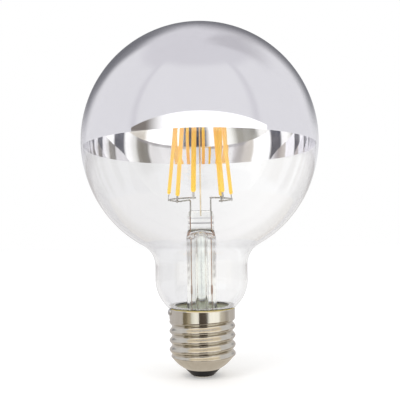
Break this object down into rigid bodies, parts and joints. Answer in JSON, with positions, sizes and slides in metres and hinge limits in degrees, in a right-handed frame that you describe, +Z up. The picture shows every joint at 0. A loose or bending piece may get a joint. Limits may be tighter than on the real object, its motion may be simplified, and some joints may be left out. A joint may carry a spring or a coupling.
{
  "type": "crown silvered globe lamp",
  "caption": "Globe light bulb with a silver mirror crown, upright LED filaments on a glass stem inside the clear lower glass, and a metal screw cap.",
  "frame": {"origin": "centre of the contact button's flat end, on the lamp's axis, which is the object's lowest point", "axes": "+Z up the lamp's axis from the cap to the crown, -Y towards the viewer of the picture, +X to the right"},
  "size_m": [0.095, 0.095, 0.1405],
  "materials": {
    "clear_glass": "clear, polished",
    "mirror_film": "silvered on the inside",
    "stem_glass": "clear, fire polished",
    "nickel_wire": "drawn nickel",
    "copper_wire": "copper clad, dull",
    "phosphor": "matt silicone with yellow phosphor",
    "tab_metal": "bright strip",
    "nickel_plate": "nickel plated, bright",
    "contact_metal": "nickel plated",
    "insulator": "black, satin",
    "cement": "ochre, rough",
    "solder": "tin solder, satin",
    "board": "green solder mask",
    "chip_body": "black moulding",
    "capacitor_sleeve": "shrunk sleeve",
    "resistor_body": "lacquered"
  },
  "bodies": {
    "root": {"glass_globe": "clear_glass", "crown_mirror": "mirror_film", "glass_stem": "stem_glass", "exhaust_tube": "stem_glass", "inner_lead_left": "nickel_wire", "inner_lead_right": "nickel_wire", "bus_wire_left": "nickel_wire", "bus_wire_right": "nickel_wire", "centre_support_wire": "nickel_wire", "head_ring": "nickel_wire", "side_input_lead": "nickel_wire", "centre_input_lead": "nickel_wire", "seal_wire_left": "copper_wire", "seal_wire_right": "copper_wire", "outer_lead_left": "copper_wire", "outer_lead_right": "copper_wire", "filament_1": "phosphor", "filament_2": "phosphor", "filament_3": "phosphor", "filament_4": "phosphor", "filament_5": "phosphor", "filament_6": "phosphor", "foot_tab_1": "tab_metal", "foot_tab_2": "tab_metal", "foot_tab_3": "tab_metal", "foot_tab_4": "tab_metal", "foot_tab_5": "tab_metal", "foot_tab_6": "tab_metal", "head_tab_1": "tab_metal", "head_tab_2": "tab_metal", "head_tab_3": "tab_metal", "head_tab_4": "tab_metal", "head_tab_5": "tab_metal", "head_tab_6": "tab_metal", "screw_shell": "nickel_plate", "centre_contact": "contact_metal", "cap_insulator": "insulator", "basing_cement": "cement", "side_solder": "solder", "board_solder": "solder", "driver_board": "board", "bridge_rectifier": "chip_body", "driver_chip": "chip_body", "chip_resistors": "chip_body", "smoothing_capacitor": "capacitor_sleeve", "fusible_resistor": "resistor_body"}
  },
  "joints": []
}
